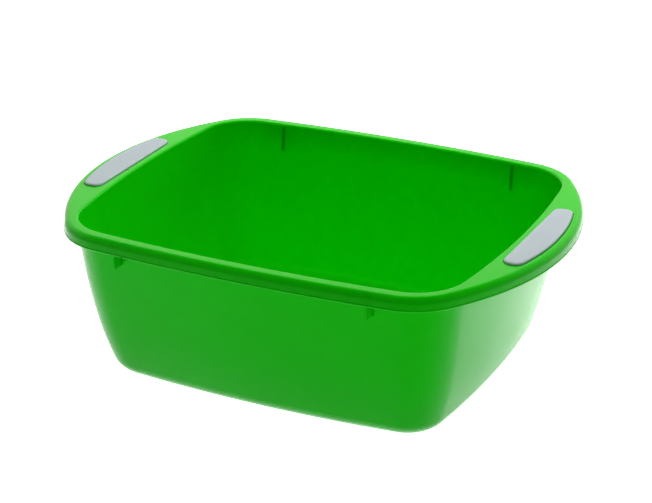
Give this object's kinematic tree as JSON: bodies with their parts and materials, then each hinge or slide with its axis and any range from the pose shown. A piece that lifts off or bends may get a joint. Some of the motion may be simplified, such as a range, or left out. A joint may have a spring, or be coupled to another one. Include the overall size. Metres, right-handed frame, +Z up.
{
  "type": "washing up bowl",
  "caption": "Rectangular washing up bowl with round corners, a wide down-turned rim that forms a handle at each end, and soft grips let into the handles.",
  "frame": {"origin": "middle of the base, on the surface that the bowl stands on", "axes": "+X along the length towards the right grip, +Y across the width, +Z up"},
  "size_m": [0.4208, 0.3138, 0.1395],
  "materials": {
    "green_plastic": "satin injection moulded polypropylene",
    "grey_grip": "matte thermoplastic elastomer"
  },
  "bodies": {
    "root": {"bowl": "green_plastic", "left_grip": "grey_grip", "right_grip": "grey_grip"}
  },
  "joints": []
}
